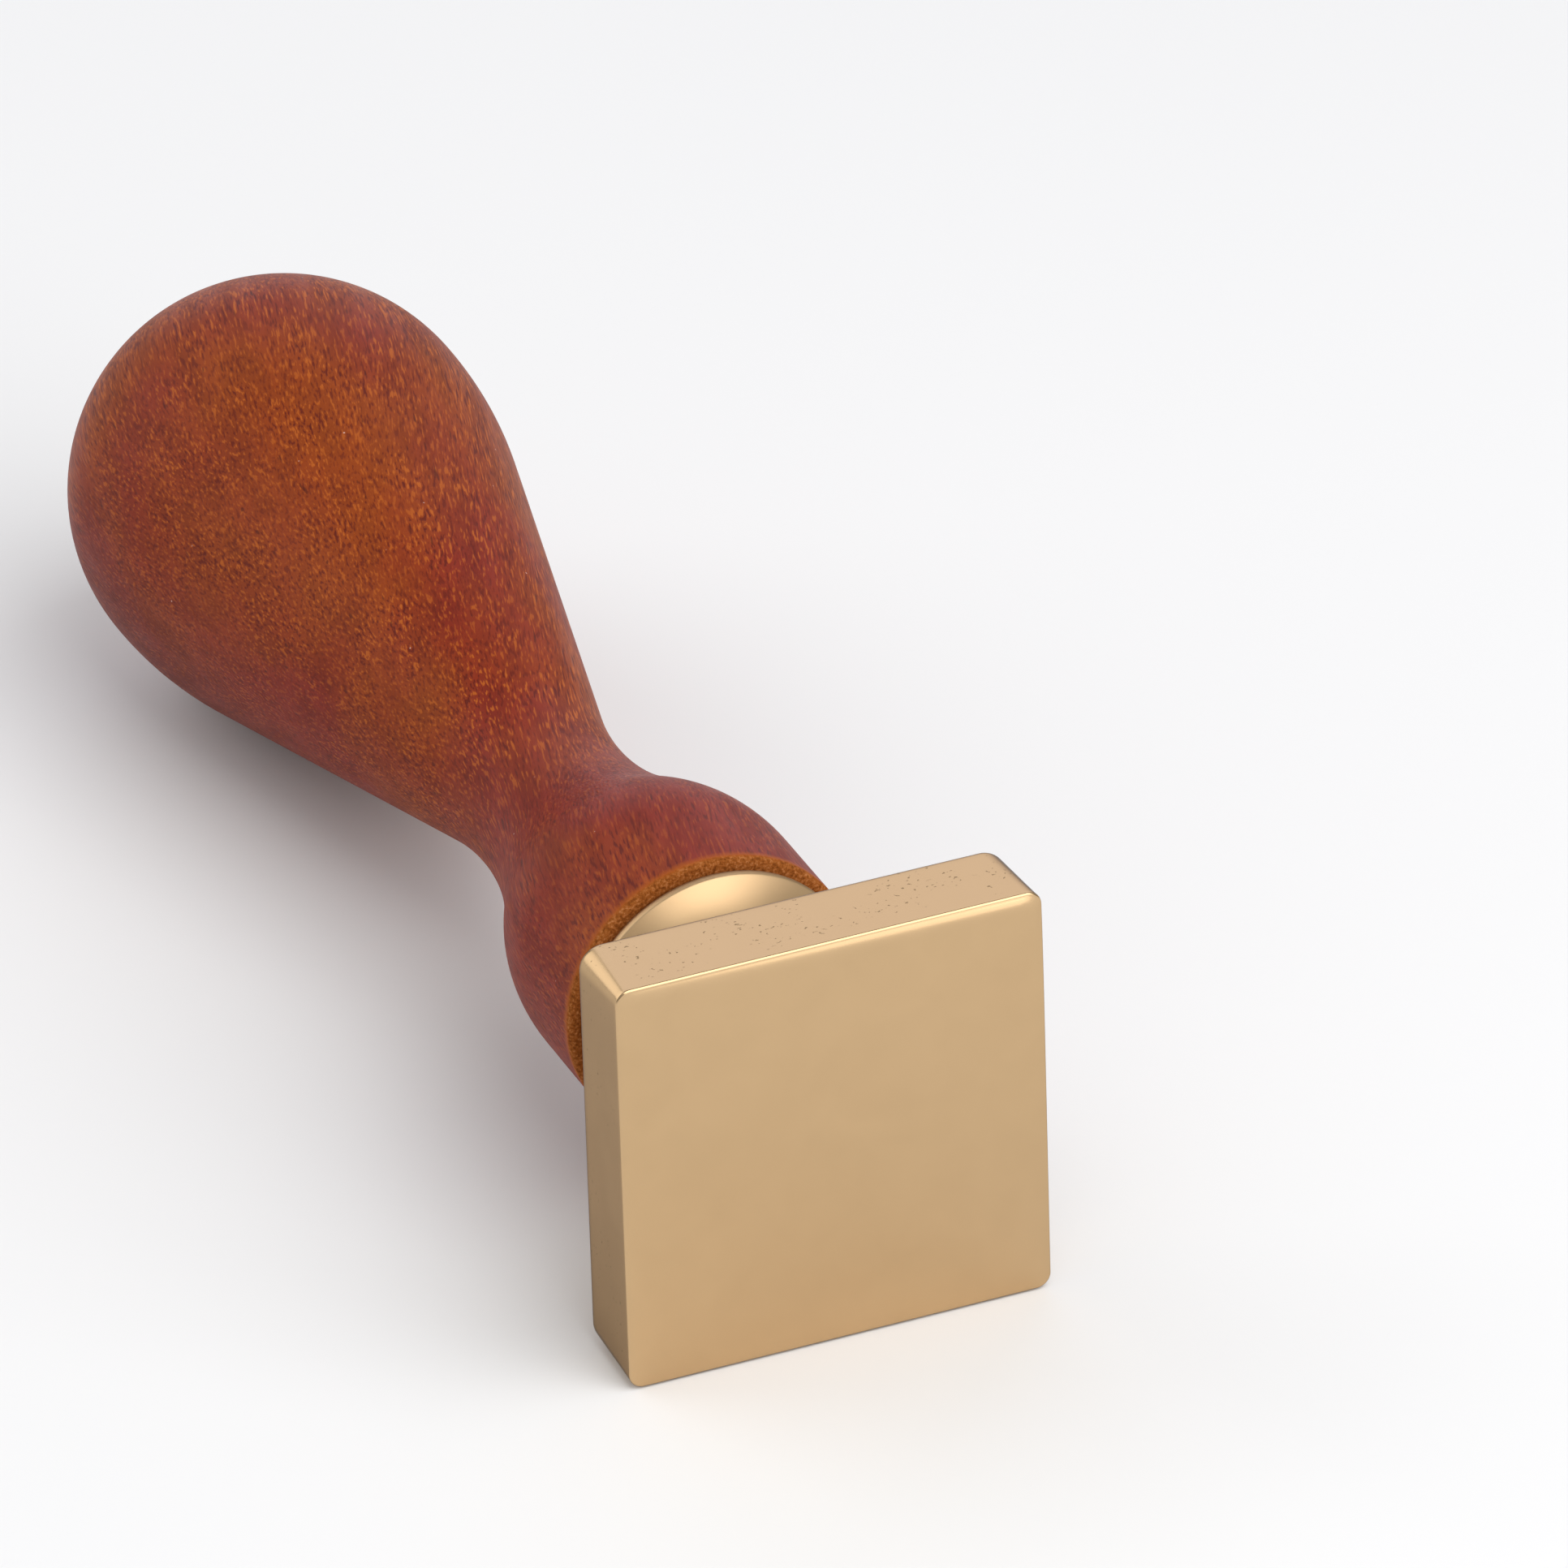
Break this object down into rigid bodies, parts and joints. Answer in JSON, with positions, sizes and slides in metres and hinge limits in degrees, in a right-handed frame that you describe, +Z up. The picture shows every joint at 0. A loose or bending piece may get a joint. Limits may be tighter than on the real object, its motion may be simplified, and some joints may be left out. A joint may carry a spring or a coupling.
{
  "type": "seal stamp",
  "caption": "Hand stamp with a turned wooden handle and a screw-on square metal head with a flat blank face.",
  "frame": {"origin": "on the floor, under the middle of the stamp's length", "axes": "+Y along the handle, from the stamping face to the bulb; +Z up; the stamp lies on its side"},
  "size_m": [0.0252, 0.0936, 0.0252],
  "materials": {
    "stained_wood": "satin red-brown stain with open pores, bare at the end of the foot",
    "steel": "plain zinc-bright thread",
    "brass": "pale gold, softly polished, with fine pits"
  },
  "bodies": {
    "handle": {"wood_handle": "stained_wood"},
    "stud": {"threaded_stud": "steel"},
    "head": {"stamp_head": "brass"}
  },
  "joints": [
    {"name": "head_turn", "type": "hinge", "parent": "handle", "child": "stud", "pos_m": [0, -0.02985, 0.0126], "axis": [0, -1, 0], "range_deg": [0, 3600]},
    {"name": "head_travel", "type": "slide", "parent": "stud", "child": "head", "axis": [0, -1, 0], "range_m": [0, 0.01]}
  ],
  "couplings": [
    {"joint": "head_travel", "follows": "head_turn", "m_per_rad": 0.00015915}
  ]
}
